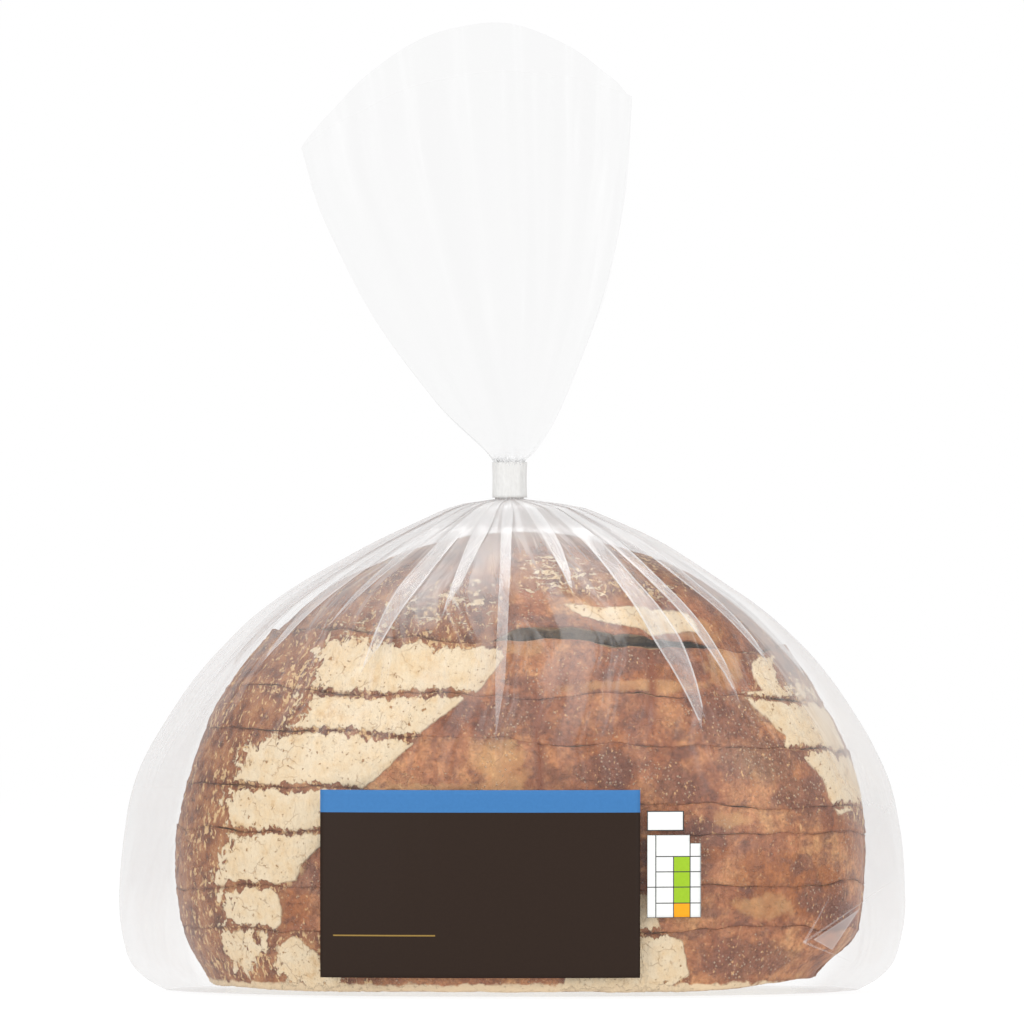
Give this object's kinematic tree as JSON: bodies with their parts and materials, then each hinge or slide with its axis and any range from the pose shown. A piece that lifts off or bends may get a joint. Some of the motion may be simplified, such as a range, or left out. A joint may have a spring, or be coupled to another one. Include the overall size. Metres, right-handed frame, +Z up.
{
  "type": "bagged sliced sourdough half loaf",
  "caption": "Sliced half of a round, flour-dusted sourdough loaf, standing on its cut face inside a clear film bag with a taped neck, a flared mouth and blank labels.",
  "frame": {"origin": "centre of the bottom of the bounding box, on the surface the bag stands on, under the middle of the bag's width and depth", "axes": "+Z up from the loaf's cut face to the taped neck; +X along the width, to the right seen from the crown; -Y the side of the domed crust and the front label, +Y the side of the loaf's flat baked base"},
  "size_m": [0.224, 0.0991, 0.276],
  "materials": {
    "crust": "matte",
    "film": "gloss",
    "tape": "satin",
    "label": "satin",
    "small_label": "satin"
  },
  "bodies": {
    "root": {"heel": "crust", "slice_1": "crust", "slice_2": "crust", "slice_3": "crust", "slice_4": "crust", "slice_5": "crust", "slice_6": "crust", "slice_7": "crust", "bag_film": "film", "neck_tape": "tape", "front_label": "label", "side_label": "small_label", "side_label_top": "small_label"}
  },
  "joints": []
}
